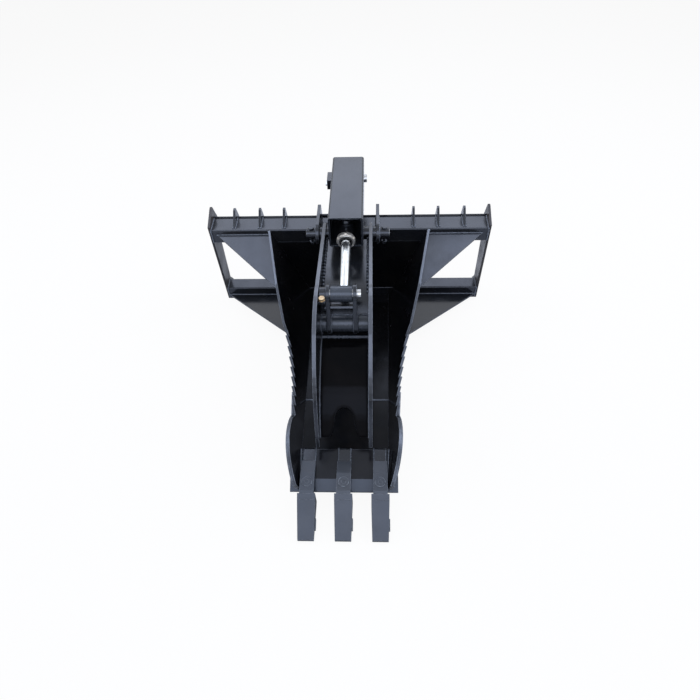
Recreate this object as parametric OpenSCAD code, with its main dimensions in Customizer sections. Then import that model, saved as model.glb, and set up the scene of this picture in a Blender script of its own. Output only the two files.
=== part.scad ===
// Stump bucket with a clamp arm for a skid-steer quick coupler.
// The outlines are drawn on the coupler: X runs across the bucket, Y runs from the teeth (negative)
// to the machine (positive), and Z runs up from the front top corners of the coupler's side plates.
// Each node is then leant forward until the coupler and the teeth both touch the ground.

/* [Coupler frame] */
// Overall width across the side plates
coupler_w = 1155; // [1000:5:1400]
// Height of the side plates' front edge
coupler_h = 419; // [345:1:505]
// Thickness of the side plates, rails, hook fins and back plate
frame_t = 9.5; // [8:0.5:12]
// Drop from the side plates' front corner to the top rail
rail_drop = 15; // [10:1:20]
// Depth of the top rail from front to back
top_rail_d = 80; // [70:1:95]
// Height of the top rail's front leg
top_rail_h = 63; // [50:1:80]
// Depth of the bottom rail from front to back
bottom_rail_d = 62; // [55:1:75]
// Height of the bottom rail
bottom_rail_h = 66; // [55:1:80]
// Thickness of the hook lip and the latch flange
lip_t = 12.7; // [10:0.1:14]
// Length of the hook lip's slope
lip_len = 54; // [45:1:60]
// Height of the fins over the top rail
fin_h = 46; // [40:1:55]
// Distance from the middle to each latch slot's centre
latch_x = 432; // [380:1:460]
// Length of a latch slot, along the coupler
latch_slot_w = 76; // [60:1:90]
// Width of a latch slot, front to back
latch_slot_d = 27; // [22:1:32]

/* [Bucket] */
// Half width between the walls at the top rail
mouth_half = 322; // [300:1:345]
// Half width between the walls at the belly's rear end
heel_half = 172; // [150:1:185]
// Half width between the walls at the cutting edge
toe_half = 147; // [146:1:170]
// Distance from the coupler's face to the front of the cutting edge
reach = 1009; // [980:1:1220]
// Drop from the side plates' front corner to the edge plate's top
toe_drop = 293; // [270:1:310]
// Height of the belly's rear end over the side plates' foot
heel_up = 19; // [14:1:40]
// Thickness of the walls and the belly
wall_t = 9.5; // [8:0.5:12]
// Number of saw teeth along each wall
saw_count = 8; // [6:1:14]
// Height of a saw tooth
saw_h = 18; // [8:1:20]
// Thickness of the wing gussets
wing_t = 6.35; // [5:0.05:9.5]
// Thickness of a side cutter
cutter_t = 5; // [4:0.5:12]
// Height of a side cutter's band
cutter_band = 62; // [50:1:75]

/* [Cutting edge and teeth] */
// Width of the cutting edge
edge_w = 368; // [350:1:400]
// Thickness of the cutting edge
edge_t = 25; // [20:1:28]
// Depth of the cutting edge from front to back
edge_d = 162; // [150:1:190]
// Spacing of the teeth
tooth_pitch = 123; // [110:1:124]
// Length of a tooth in front of the edge
tooth_len = 141; // [120:1:160]
// Width of a tooth at its root
tooth_w = 60; // [54:1:68]
// Width of a tooth shank
shank_w = 40; // [36:1:44]
// Width of the tongue that lies on the shank
tongue_w = 48; // [46:1:52]
// Diameter of a tooth pin
tooth_pin_d = 36; // [28:1:37]

/* [Clamp arm] */
// Clear width between the two arm plates
arm_gap = 169; // [160:1:180]
// Thickness of an arm plate and a pivot ear
arm_t = 12.7; // [10:0.1:16]
// Outer radius of the arm plates round the pivot
arm_wrap_r = 40; // [36:0.5:41]
// Diameter of the arm's pivot pin
pivot_pin_d = 32; // [28:0.5:36]
// Outer diameter of the arm's pivot tube
hub_d = 50; // [46:1:70]
// Outer diameter of a pivot boss
boss_d = 44; // [42:1:56]
// Length of a pivot boss
boss_len = 39; // [32:1:45]
// Outer diameter of the arm's cross tube
cross_d = 60; // [50:1:62]
// Thickness of the arm's skins
skin_t = 9.5; // [8:0.5:12]
// Clear width between the clevis lugs
clevis_gap = 79; // [75:1:82]
// Distance of the clevis to the left of the arm's middle
clevis_left = 8; // [0:1:9]

/* [Cylinder and guard] */
// Outer size of the square guard tube
guard_w = 127; // [120:1:140]
// Wall of the guard tube
guard_t = 6.35; // [5:0.05:7]
// Length of the guard tube
guard_len = 420; // [400:1:430]
// Outer diameter of the barrel
barrel_d = 60; // [58:0.5:61]
// Bore of the barrel
barrel_bore = 50.8; // [48:0.1:52]
// Distance from the base pin to the barrel's front end
barrel_len = 366; // [366:1:376]
// Diameter of the rod
rod_d = 36; // [30:0.5:38]
// Diameter of the base pin and the clevis pin
pin_d = 31.75; // [28:0.05:34]
// Clear width between the two mast lugs
mast_gap = 63; // [62.5:0.1:66]

/* [Fits] */
// Radial running clearance of a pin in its bore
run_clear = 0.08; // [0.02:0.01:0.1]
// Gap between pieces that pass each other
side_gap = 0.5; // [0.3:0.1:1]
// Gap between a tooth's socket and its shank
socket_gap = 0.4; // [0.3:0.1:0.8]
// Radial room round the rod and piston, because the linkage is opened there
slide_room = 2.9; // [2.8:0.1:3.2]

/* [Hidden] */
$fn = 64;

black_paint = [0.2, 0.21, 0.24];
chrome = [0.86, 0.87, 0.88];
steel = [0.62, 0.63, 0.65];
zinc_yellow = [0.78, 0.62, 0.22];

// Pivots, as [Y, Z] on the coupler's axes
pivot = [-46, 6];
base_pivot = [178, 102];
clevis_pivot = [-461, 93.5];
cross_at = [-486, -31];

side_half = coupler_w / 2;
heel_drop = coupler_h - heel_up;
rail_half = side_half - frame_t;
rail_top = -rail_drop;
rail_foot = rail_top - top_rail_h;
ledge_top = -coupler_h + bottom_rail_h;
flange_top = -coupler_h + lip_t;
flange_rear = bottom_rail_d + 46;
lip_start = top_rail_d + 4;
lip_top = rail_top + 6;
lip_run = lip_len * cos(45);
lip_drop = lip_t / cos(45);

toe_y = -reach;
toe_z = -toe_drop;
step_y = toe_y + edge_d;
belly_lip = 4;
belly_front_z = toe_z - belly_lip;

// Each wall lies in the plane X = wall_a + wall_b * Y + wall_c * Z
wall_c = (mouth_half - heel_half) / (heel_drop - rail_drop);
wall_a = mouth_half + wall_c * rail_drop;
wall_b = (wall_a + wall_c * (toe_z + 8) - toe_half) / reach;
wall_n1 = sqrt(1 + wall_b * wall_b);
wall_n = sqrt(1 + wall_b * wall_b + wall_c * wall_c);

// Points of the wall's top edge from the rail to the hump, as [Y, Z]
wing_tip = [-235, -88];
saw_shoulder = [-380, -153];
saw_start = [-416, -193];
saw_end = [toe_y + 275, toe_z + 44];
saw_bend = [(saw_start[0] + saw_end[0]) / 2, saw_end[1] - 16];
hump_start = [toe_y + 254, toe_z + 60];
hump_r = 230;
hump_centre = [toe_y + 159, toe_z - 147];
hump_steps = 18;
wall_front = toe_y + 13;
cutter_rear = hump_start[0] - 2;
cutter_tail = toe_y + 374;

tooth_tip_top = -53;
tooth_tip_t = 11;
tongue_t = 14;
shank_leg_t = 13;
tip_foot = toe_z + tooth_tip_top - tooth_tip_t;

// Lean of the part at rest, and the point that the origin moves to
rest_tilt = atan((coupler_h + tip_foot) / (reach + tooth_len));
guard_lift = 3.44;
guard_front = 362;
guard_rear = guard_front - guard_len;
cylinder_lift = atan2(clevis_pivot[1] - base_pivot[1], base_pivot[0] - clevis_pivot[0]);
guard_axis = [-cos(guard_lift), sin(guard_lift)];
guard_up = [sin(guard_lift), cos(guard_lift)];
front_y = leant_y([toe_y - tooth_len, tip_foot + tooth_tip_t]);
rear_y = max([for (s = [-1, 1])
    leant_y(base_pivot + guard_rear * guard_axis + s * guard_w / 2 * guard_up)]);
middle_y = (front_y + rear_y) / 2;
floor_z = -coupler_h * cos(rest_tilt);

ear_half = arm_gap / 2 + arm_t + 15.5;
arm_half = arm_gap / 2 + arm_t / 2;
mast_t = 12.7;
eye_w = mast_gap - 1;
pin_stub = 12;
flag_w = 22;
clevis_half = clevis_gap / 2 + arm_t;

// Outline of the arm plate, as [Y, Z]
arm_crown_start = [-440, 117];
arm_crown = [-548, 148];
arm_crown_end = [-640, 95];
arm_brow = [toe_y + 247, 14];
arm_brow_end = [toe_y + 194, -110];
arm_tip_front = [toe_y + 143, toe_z + 50];
arm_tip_rear = [toe_y + 187, toe_z + 50];
arm_throat = [toe_y + 261, -118];
arm_throat_end = [-560, -82];
skin_seam_y = -517;
throat_z = -82;
curve_steps = 10;
arch_top = toe_y + 252;

function leant_y(p) = p[0] * cos(rest_tilt) - p[1] * sin(rest_tilt);
function lerp(p, q, t) = p + (q - p) * t;
function bend(p, c, q, n) =
    [for (i = [0 : n]) let (t = i / n) lerp(lerp(p, c, t), lerp(c, q, t), t)];
function polar(c, r, a) = c + r * [cos(a), sin(a)];
function wall_x(y, z) = wall_a + wall_b * y + wall_c * z;
// A point of the wall's plane, given as [Y, Z], in the plane's own two directions
function on_wall(p) = [
    (p[0] * wall_n1 * wall_n1 + wall_b * wall_c * p[1]) / wall_n1,
    p[1] * wall_n / wall_n1];

module rest() {
    translate([0, -middle_y, -floor_z]) rotate([rest_tilt, 0, 0]) children();
}

// A plate whose outline is drawn in Y and Z, from x0 to x0 + t
module side_plate(x0, t) {
    translate([x0, 0, 0]) rotate([90, 0, 90]) linear_extrude(t) children();
}

// A bar across the part, of the outline drawn in Y and Z
module across(half) {
    side_plate(-half, 2 * half) children();
}

module side(s) {
    if (s < 0) mirror([1, 0, 0]) children();
    else children();
}

// The frame of the right wall: X is square to the plate, Y and Z lie in it
module wall_frame() {
    translate([wall_a, 0, 0]) rotate([0, asin(wall_c / wall_n), -atan(wall_b)]) children();
}

// The straight part of a bar between two round ends, its sides just inside the tangents
module web_2d(p, rp, q, rq) {
    a = atan2(q[1] - p[1], q[0] - p[0]);
    s = acos((rp - rq) / norm(q - p)) - 6;
    polygon([polar(p, rp - 0.5, a + s), polar(q, rq - 0.5, a + s),
        polar(q, rq - 0.5, a - s), polar(p, rp - 0.5, a - s)]);
}

module round_square(w, r) {
    square([w - 2 * r, w], center = true);
    square([w, w - 2 * r], center = true);
    for (x = [-1, 1], y = [-1, 1]) translate([x, y] * (w / 2 - r)) circle(r);
}

module hex_2d(flats) {
    circle(r = flats / 2 / cos(30), $fn = 6);
}

// The cylinder's frame: Z runs from the base pin to the clevis pin
module on_cylinder() {
    translate([0, base_pivot[0], base_pivot[1]]) rotate([90 - cylinder_lift, 0, 0]) children();
}

// The guard's frame: Z runs forwards along its middle from the base pin
module on_guard() {
    translate([0, base_pivot[0], base_pivot[1]]) rotate([90 - guard_lift, 0, 0]) children();
}

// Coupler

module rail_2d(d, front_h, rear_h) {
    corner_r = 5;
    translate([corner_r, -corner_r]) circle(corner_r);
    translate([d - corner_r, -corner_r]) circle(corner_r);
    translate([corner_r, -frame_t]) square([d - 2 * corner_r, frame_t]);
    translate([0, -front_h]) square([frame_t, front_h - corner_r]);
    translate([d - frame_t, -rear_h]) square([frame_t, rear_h - corner_r]);
}

module top_rail_2d() {
    rear_h = 45;
    translate([0, rail_top]) rail_2d(top_rail_d, top_rail_h, rear_h);
}

// Outline of a foot that sits on the top rail and the hook lip, from the rail's front to the rear
function rail_foot_points(start, heel) = [[start, rail_top - rail_sink],
    [top_rail_d, rail_top - rail_sink], [top_rail_d, rail_top - 3], [lip_start, lip_top],
    [lip_start + heel, lip_top - heel]];
rail_sink = 7;

module coupler_top_rail() {
    color(black_paint) across(rail_half) top_rail_2d();
}

module coupler_hook_lip() {
    color(black_paint) across(rail_half) polygon([
        [top_rail_d, rail_top - 3], [lip_start, lip_top],
        [lip_start + lip_run, lip_top - lip_run],
        [lip_start + lip_run - lip_drop / 2, lip_top - lip_run - lip_drop / 2],
        [top_rail_d, lip_top - lip_drop + 4]]);
}

module coupler_bottom_rail() {
    color(black_paint) across(rail_half) translate([0, ledge_top])
        rail_2d(bottom_rail_d, bottom_rail_h, bottom_rail_h - lip_t);
}

module coupler_latch_flange() {
    slot_y = (bottom_rail_d + flange_rear) / 2 + 1;
    color(black_paint) difference() {
        translate([-rail_half, frame_t, -coupler_h])
            cube([2 * rail_half, flange_rear - frame_t, lip_t]);
        for (s = [-1, 1]) translate([s * latch_x, slot_y, -coupler_h - 1]) linear_extrude(lip_t + 2) {
            square([latch_slot_w - latch_slot_d, latch_slot_d], center = true);
            for (e = [-1, 1]) translate([e * (latch_slot_w - latch_slot_d) / 2, 0])
                circle(latch_slot_d / 2);
        }
    }
}

module coupler_side() {
    horn = rail_top + fin_h;
    color(black_paint) side_plate(rail_half, frame_t) polygon([
        [0, 0], [top_rail_d + 4, horn], [top_rail_d + 16, horn],
        [lip_start + lip_run + 6, lip_top - lip_run + 4],
        [lip_start + lip_run - lip_drop / 2 + 3, lip_top - lip_run - lip_drop / 2 - 5],
        [top_rail_d + 19, rail_top - 50], [bottom_rail_d + 14, ledge_top],
        [flange_rear, flange_top + 10], [flange_rear, -coupler_h], [0, -coupler_h]]);
}

module coupler_side_left() { side(-1) coupler_side(); }
module coupler_side_right() { side(1) coupler_side(); }

module hook_fins() {
    horn = rail_top + fin_h;
    foot = 12;
    heel = lip_run - 8;
    for (s = [-1, 1], x = [266, 366, 472]) color(black_paint)
        side_plate(s * x - frame_t / 2, frame_t) difference() {
            polygon(concat(rail_foot_points(foot, heel),
                [[top_rail_d + 7, horn], [top_rail_d - 7, horn], [foot, rail_top]]));
            top_rail_2d();
        }
}

// Bucket

// Fills the space inside the right wall's plane, moved out by the given distance
module inside_wall(out) {
    big = 2000;
    wall_frame() translate([out - big, -big, -big]) cube([big, 2 * big, 2 * big]);
}

module between_walls(out) {
    intersection() {
        children();
        inside_wall(out);
        side(-1) inside_wall(out);
    }
}

module bucket_back() {
    lap = 14;
    function half(z) = wall_x(0, z) + wall_t * wall_n + lap;
    color(black_paint) translate([0, frame_t, 0]) rotate([90, 0, 0]) linear_extrude(frame_t)
        polygon([[-half(rail_foot), rail_foot], [half(rail_foot), rail_foot],
            [half(ledge_top), ledge_top], [-half(ledge_top), ledge_top]]);
}

module bucket_belly() {
    color(black_paint) between_walls(0) across(mouth_half) polygon([
        [0, -heel_drop], [step_y, belly_front_z],
        [step_y, belly_front_z - wall_t], [0, -heel_drop - wall_t]]);
}

function hump(a0, a1, r) =
    [for (i = [0 : hump_steps]) polar(hump_centre, r, a0 + (a1 - a0) * i / hump_steps)];
hump_a0 = acos((hump_start[0] - hump_centre[0]) / hump_r);
hump_a1 = acos((wall_front - hump_centre[0]) / hump_r);

// One saw tooth: a steep riser that faces the machine, then a long fall to the front
function saw(i) = let (line = bend(saw_start, saw_bend, saw_end, saw_count),
    p = line[i], q = line[i + 1]) [p, lerp(p, q, 0.12) + [0, saw_h]];

module bucket_wall() {
    saws = [for (i = [0 : saw_count - 1], p = saw(i)) p];
    outline = concat([[0, rail_top], wing_tip, saw_shoulder], saws, [saw_end],
        hump(hump_a0, hump_a1, hump_r), [[wall_front, toe_z], [step_y, toe_z],
        [step_y, belly_front_z - wall_t], [0, -heel_drop - wall_t]]);
    color(black_paint) intersection() {
        wall_frame() rotate([90, 0, 90]) linear_extrude(wall_t)
            polygon([for (p = outline) on_wall(p)]);
        translate([0, -2 * reach, -2 * coupler_h]) cube([coupler_w, 2 * reach, 2 * coupler_h]);
        union() {
            translate([0, toe_y, toe_z]) cube([coupler_w, reach, coupler_h]);
            translate([0, step_y, -coupler_h]) cube([coupler_w, reach, coupler_h]);
        }
    }
}

module bucket_wall_left() { side(-1) bucket_wall(); }
module bucket_wall_right() { side(1) bucket_wall(); }

// A triangular plate from a rail to the outside of the wall
module wing_gusset(rail_z, outer_x, apex) {
    fall = atan2(apex[1] - rail_z, -apex[0]);
    run = norm([apex[0], apex[1] - rail_z]);
    inner_x = wall_x(0, rail_z) - 30;
    apex_x = wall_x(apex[0], apex[1]) + wall_t;
    color(black_paint) difference() {
        intersection() {
            translate([0, 0, rail_z]) rotate([-fall, 0, 0]) translate([0, 0, -wing_t])
                linear_extrude(wing_t)
                polygon([[outer_x, 4], [inner_x, 4], [apex_x - 30, -run], [apex_x, -run], [outer_x, 0]]);
            translate([0, -reach, -2 * coupler_h]) cube([coupler_w, reach, 3 * coupler_h]);
        }
        inside_wall(wall_t);
    }
}

upper_apex = [-246, -98];
lower_apex = [-360, -292];
upper_joint_z = rail_top - 23;
lower_joint_z = -coupler_h + 24;

module wing_gusset_upper_left() { side(-1) wing_gusset(upper_joint_z, rail_half - 22, upper_apex); }
module wing_gusset_upper_right() { side(1) wing_gusset(upper_joint_z, rail_half - 22, upper_apex); }
module wing_gusset_lower_left() { side(-1) wing_gusset(lower_joint_z, rail_half - 2, lower_apex); }
module wing_gusset_lower_right() { side(1) wing_gusset(lower_joint_z, rail_half - 2, lower_apex); }

// Cutting edge, side cutters and teeth

edge_nose = toe_y + 12;
bevel_rear = toe_y + 50;
bevel_h = 0.76 * edge_t;
ear_d = 66;

module edge_2d() {
    polygon([[step_y, toe_z], [bevel_rear, toe_z], [edge_nose, toe_z - bevel_h],
        [edge_nose, toe_z - edge_t], [step_y, toe_z - edge_t]]);
}

module cutting_edge() {
    rear_half = wall_x(step_y, toe_z) + wall_t * wall_n;
    color(black_paint) intersection() {
        across(edge_w / 2) edge_2d();
        translate([0, 0, -2 * coupler_h]) linear_extrude(2 * coupler_h) polygon([
            [-edge_w / 2, toe_y - 1], [edge_w / 2, toe_y - 1], [edge_w / 2, toe_y + ear_d],
            [rear_half, toe_y + ear_d + 16], [rear_half, step_y + 1],
            [-rear_half, step_y + 1], [-rear_half, toe_y + ear_d + 16],
            [-edge_w / 2, toe_y + ear_d]]);
    }
}

module side_cutter() {
    inner_r = hump_r - cutter_band;
    a0 = acos((cutter_rear - hump_centre[0]) / hump_r);
    outline = concat(hump(a0, hump_a1, hump_r), [[wall_front, toe_z], [wall_front + 26, toe_z]],
        [for (i = [hump_steps : -1 : 4]) polar(hump_centre, inner_r,
            a0 + (hump_a1 - 4 - a0) * i / hump_steps)], [[cutter_rear, saw_end[1] - 18],
            [cutter_tail, saw_end[1] - 9], [cutter_tail, saw_end[1] + 5],
            [cutter_rear + 22, saw_end[1] + 6]]);
    color(black_paint) intersection() {
        wall_frame() translate([wall_t, 0, 0]) rotate([90, 0, 90]) linear_extrude(cutter_t)
            polygon([for (p = outline) on_wall(p)]);
        translate([0, toe_y, toe_z]) cube([coupler_w, reach, coupler_h]);
    }
}

module side_cutter_left() { side(-1) side_cutter(); }
module side_cutter_right() { side(1) side_cutter(); }

nose_len = 70;
tooth_pin_y = toe_y + 28;

// Side outline of the shank's nose, grown by a gap for the tooth's socket
function nose(g) = [[toe_y - 5 + g, toe_z + shank_leg_t - 3 + g],
    [toe_y - nose_len - g, toe_z - 24 + g], [toe_y - nose_len - g, toe_z - 35 - g],
    [toe_y - 5 + g, toe_z - edge_t - 10 - g]];

module tooth_shank(x) {
    leg_rear = toe_y + edge_d;
    lower_t = 13;
    color(black_paint) {
        difference() {
            side_plate(x - shank_w / 2, shank_w) polygon(concat([
                [leg_rear, toe_z], [leg_rear, toe_z + 7], [leg_rear - 8, toe_z + shank_leg_t],
                [toe_y - 1, toe_z + shank_leg_t]], nose(0),
                [[toe_y - 1, toe_z - edge_t - lower_t], [toe_y + 66, toe_z - edge_t - lower_t],
                [toe_y + 80, toe_z - edge_t], [edge_nose, toe_z - edge_t],
                [edge_nose, toe_z - bevel_h], [bevel_rear, toe_z]]));
            translate([x, tooth_pin_y, toe_z]) cylinder(d = tooth_pin_d, h = shank_leg_t + 1);
        }
    }
}

module tooth_shank_left() { tooth_shank(-tooth_pitch); }
module tooth_shank_middle() { tooth_shank(0); }
module tooth_shank_right() { tooth_shank(tooth_pitch); }

module tooth(x) {
    root_y = toe_y - 12;
    tongue_z = toe_z + shank_leg_t;
    top_z = tongue_z + tongue_t;
    tip_y = toe_y - tooth_len;
    tip_z = toe_z + tooth_tip_top;
    tip_half = tooth_w / 2 - 3;
    stub_y = tip_y + 32;
    color(black_paint) difference() {
        union() {
            intersection() {
                side_plate(x - tooth_w / 2, tooth_w) polygon([[root_y, top_z - 2], [tip_y, tip_z],
                    [tip_y, tip_z - tooth_tip_t], [root_y, toe_z - edge_t - 20]]);
                translate([x, 0, -2 * coupler_h]) linear_extrude(2 * coupler_h) polygon([
                    [-tooth_w / 2, root_y], [tooth_w / 2, root_y], [tooth_w / 2, root_y - 20],
                    [tip_half, tip_y], [-tip_half, tip_y], [-tooth_w / 2, root_y - 20]]);
            }
            side_plate(x - tongue_w / 2, tongue_w) polygon([[toe_y + 110, tongue_z],
                [toe_y + 110, tongue_z + 1.5], [toe_y + 60, top_z], [toe_y - 3, top_z],
                [root_y - 18, top_z - 12], [root_y - 18, tongue_z - 8], [root_y, tongue_z]]);
            side_plate(x + tip_half - 4, 9) polygon([[stub_y, tip_z + 8], [stub_y + 34, tip_z + 22],
                [stub_y + 34, tip_z + 4], [stub_y, tip_z - 4]]);
        }
        side_plate(x - shank_w / 2 - socket_gap, shank_w + 2 * socket_gap)
            polygon(nose(socket_gap));
        translate([x, tooth_pin_y, tongue_z - 1]) cylinder(d = tooth_pin_d, h = tongue_t + 2);
    }
}

module tooth_left() { tooth(-tooth_pitch); }
module tooth_middle() { tooth(0); }
module tooth_right() { tooth(tooth_pitch); }

module tooth_pins() {
    proud = 2.5;
    dimple_d = 14;
    h = shank_leg_t + tongue_t + proud;
    for (i = [-1 : 1]) color(black_paint) translate([i * tooth_pitch, tooth_pin_y, toe_z])
        difference() {
            union() {
                cylinder(d = tooth_pin_d, h = h - 1.5);
                cylinder(d = tooth_pin_d - 3, h = h);
            }
            translate([0, 0, h - 2]) cylinder(d = dimple_d, h = 3);
        }
}

// Pivot of the arm

module pivot_ear() {
    ear_r = 45;
    crest = rail_top + fin_h + 12;
    heel = 26;
    color(black_paint) side_plate(ear_half, arm_t) difference() {
        union() {
            translate(pivot) circle(ear_r);
            polygon(concat([polar(pivot, ear_r, -130), [0, rail_foot + 2], [0, rail_top - rail_sink]],
                rail_foot_points(0, heel), [[top_rail_d + 8, crest], [top_rail_d - 14, crest],
                polar(pivot, ear_r, 82)]));
        }
        translate(pivot) circle(pivot_pin_d / 2);
        top_rail_2d();
    }
}

module pivot_ear_left() { side(-1) pivot_ear(); }
module pivot_ear_right() { side(1) pivot_ear(); }

bolt_d = 12;
boss_x = ear_half + arm_t;

module pivot_boss() {
    color(black_paint) difference() {
        translate([boss_x, pivot[0], pivot[1]]) rotate([0, 90, 0]) cylinder(d = boss_d, h = boss_len);
        translate([boss_x - 1, pivot[0], pivot[1]]) rotate([0, 90, 0])
            cylinder(d = pivot_pin_d, h = boss_len + 2);
        translate([boss_x + boss_len / 2, pivot[0], pivot[1] - boss_d])
            cylinder(d = bolt_d, h = 2 * boss_d);
    }
}

module pivot_boss_left() { side(-1) pivot_boss(); }
module pivot_boss_right() { side(1) pivot_boss(); }

module pivot_pin() {
    end = boss_x + boss_len + 1;
    color(steel) difference() {
        translate([-end, pivot[0], pivot[1]]) rotate([0, 90, 0]) cylinder(d = pivot_pin_d, h = 2 * end);
        for (s = [-1, 1]) translate([s * (boss_x + boss_len / 2), pivot[0], pivot[1] - boss_d])
            cylinder(d = bolt_d, h = 2 * boss_d);
    }
}

bolt_seat = boss_d / 2;
head_h = 8;
nut_h = 10;
nut_drop = 17;

module pivot_bolts() {
    for (s = [-1, 1]) color(black_paint)
        translate([s * (boss_x + boss_len / 2), pivot[0], pivot[1]]) {
            translate([0, 0, bolt_seat]) linear_extrude(head_h) hex_2d(19);
            translate([0, 0, -bolt_seat - nut_drop - nut_h - 3])
                cylinder(d = bolt_d, h = 2 * bolt_seat + nut_drop + nut_h + 3);
        }
}

module pivot_nuts() {
    for (s = [-1, 1]) color(black_paint)
        translate([s * (boss_x + boss_len / 2), pivot[0], pivot[1] - bolt_seat - nut_drop - nut_h])
        linear_extrude(nut_h) difference() {
            hex_2d(19);
            circle(d = bolt_d);
        }
}

// Mast that carries the cylinder's base pin

mast_half = mast_gap / 2 + mast_t + 14;
mast_plate_t = 15;
mast_front = 14;
mast_plate_rear = top_rail_d - 6;

module mast_base_plate() {
    color(black_paint) translate([-mast_half, mast_front, rail_top])
        cube([2 * mast_half, mast_plate_rear - mast_front, mast_plate_t]);
}

module mast_lug() {
    top = rail_top + mast_plate_t;
    lug_r = 36;
    heel = 26;
    color(black_paint) side_plate(mast_gap / 2, mast_t) difference() {
        union() {
            translate(base_pivot) circle(lug_r);
            polygon(concat([[mast_front + 6, top], [mast_plate_rear, top],
                [mast_plate_rear, rail_top - rail_sink]], rail_foot_points(mast_plate_rear, heel),
                [polar(base_pivot, lug_r, -40), polar(base_pivot, lug_r, 140)]));
        }
        translate(base_pivot) circle(pin_d / 2 + run_clear);
        top_rail_2d();
    }
}

module mast_lug_left() { side(-1) mast_lug(); }
module mast_lug_right() { side(1) mast_lug(); }

// A thin round bar from the left ear to the left mast lug
module mast_tie_bar() {
    bar_at = [66, 8];
    bar_d = 8;
    inner = mast_gap / 2 + mast_t;
    color(black_paint) translate([-ear_half, bar_at[0], bar_at[1]]) rotate([0, 90, 0])
        cylinder(d = bar_d, h = ear_half - inner);
}

// Clamp arm

throat_curve = bend(arm_tip_rear, arm_throat, arm_throat_end, curve_steps);

module arm_plate() {
    outline = concat([polar(pivot, arm_wrap_r, 81)],
        bend(arm_crown_start, arm_crown, arm_crown_end, curve_steps),
        bend(arm_crown_end, arm_brow, arm_brow_end, curve_steps),
        [arm_tip_front], throat_curve, [[-70, throat_z], polar(pivot, arm_wrap_r, -105)]);
    color(black_paint) side_plate(arm_gap / 2, arm_t) difference() {
        union() {
            polygon(outline);
            translate(pivot) circle(arm_wrap_r);
        }
        translate(pivot) circle(hub_d / 2);
    }
}

module arm_plate_left() { side(-1) arm_plate(); }
module arm_plate_right() { side(1) arm_plate(); }

module arm_pivot_tube() {
    color(black_paint) across(ear_half - side_gap) translate(pivot) difference() {
        circle(hub_d / 2);
        circle(pivot_pin_d / 2 + run_clear);
    }
}

module arm_throat_skin() {
    color(black_paint) across(arm_gap / 2) polygon([[-70, throat_z], [-70, throat_z + skin_t],
        [skin_seam_y, throat_z + skin_t], [skin_seam_y, throat_z]]);
}

// The front skin follows the throat curve, a skin's thickness above it
module arm_front_skin() {
    n = len(throat_curve);
    function dir(i) = let (p = throat_curve[max(i - 1, 0)], q = throat_curve[min(i + 1, n - 1)])
        (q - p) / norm(q - p);
    upper = [for (i = [0 : n - 1]) throat_curve[i] + skin_t * [-dir(i)[1], dir(i)[0]]];
    color(black_paint) difference() {
        across(arm_gap / 2) polygon(concat([for (p = throat_curve) p], [[skin_seam_y, throat_z],
            [skin_seam_y, throat_z + skin_t]], [for (i = [n - 1 : -1 : 0]) upper[i]]));
        translate([0, arch_top, -2 * coupler_h]) linear_extrude(2 * coupler_h)
            for (m = [0, 1]) mirror([m, 0]) polygon(concat([[-1, -90], [-1, 0]],
                bend([0, 0], [30, 0], [35, -40], curve_steps),
                bend([35, -40], [37, -56], [54, -76], curve_steps), [[64, -90]]));
    }
}

module arm_cross_tube() {
    wall = 8;
    color(black_paint) across(arm_gap / 2) translate(cross_at) difference() {
        circle(cross_d / 2);
        circle(cross_d / 2 - wall);
    }
}

// The whole clevis sits a little left of the arm's middle
module on_clevis() {
    translate([-clevis_left, 0, 0]) children();
}

module clevis_lug() {
    top_r = 34;
    foot_r = cross_d / 2 + 9;
    color(black_paint) difference() {
        union() {
            side_plate(clevis_gap / 2, arm_t) translate(clevis_pivot) circle(top_r);
            side_plate(clevis_gap / 2, arm_t) translate(cross_at) circle(foot_r);
            side_plate(clevis_gap / 2, arm_t) web_2d(clevis_pivot, top_r, cross_at, foot_r);
        }
        side_plate(clevis_gap / 2 - 1, arm_t + 2) translate(cross_at) circle(cross_d / 2);
        side_plate(clevis_gap / 2 - 1, arm_t + 2) translate(clevis_pivot) circle(pin_d / 2);
    }
}

module clevis_lug_left() { on_clevis() side(-1) clevis_lug(); }
module clevis_lug_right() { on_clevis() side(1) clevis_lug(); }

module clevis_tie_plate() {
    inner_r = 42;
    t = 8;
    reach_out = 90;
    color(black_paint) on_clevis() across(clevis_gap / 2) translate(clevis_pivot) intersection() {
        difference() {
            circle(inner_r + t);
            circle(inner_r);
        }
        polygon([[0, 0], polar([0, 0], reach_out, 222), polar([0, 0], reach_out, 262),
            polar([0, 0], reach_out, 302)]);
    }
}

flag_reach = 40;
flag_inner = clevis_half + 1;
flag_len = 22;
flag_tab_t = 10;
flag_x = -(flag_inner + flag_len / 2);

module clevis_pin() {
    left = flag_inner + flag_len;
    right = clevis_half + 14;
    color(steel) on_clevis() translate([-left, clevis_pivot[0], clevis_pivot[1]])
        rotate([0, 90, 0]) cylinder(d = pin_d, h = left + right);
}

module clevis_flag() {
    collar_r = 24;
    color(black_paint) on_clevis() difference() {
        side_plate(-flag_inner - flag_len, flag_len) translate(clevis_pivot) difference() {
            union() {
                circle(collar_r);
                translate([-flag_reach - 12, -flag_tab_t / 2 + 8]) square([flag_reach, flag_tab_t]);
            }
            circle(pin_d / 2);
        }
        translate([flag_x, clevis_pivot[0] - flag_reach, 0]) cylinder(d = bolt_d, h = 300);
    }
}

flag_foot = clevis_pivot[1] + 8 - flag_tab_t / 2;
spacer_r = flag_len / 2;

module clevis_bolt() {
    color(zinc_yellow) on_clevis() translate([flag_x, clevis_pivot[0] - flag_reach, flag_foot]) {
        translate([0, 0, flag_tab_t]) cylinder(d = flag_len, h = 2);
        translate([0, 0, flag_tab_t + 2]) linear_extrude(8) hex_2d(19);
        translate([0, 0, -30]) cylinder(d = bolt_d, h = 32 + flag_tab_t);
    }
}

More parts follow.
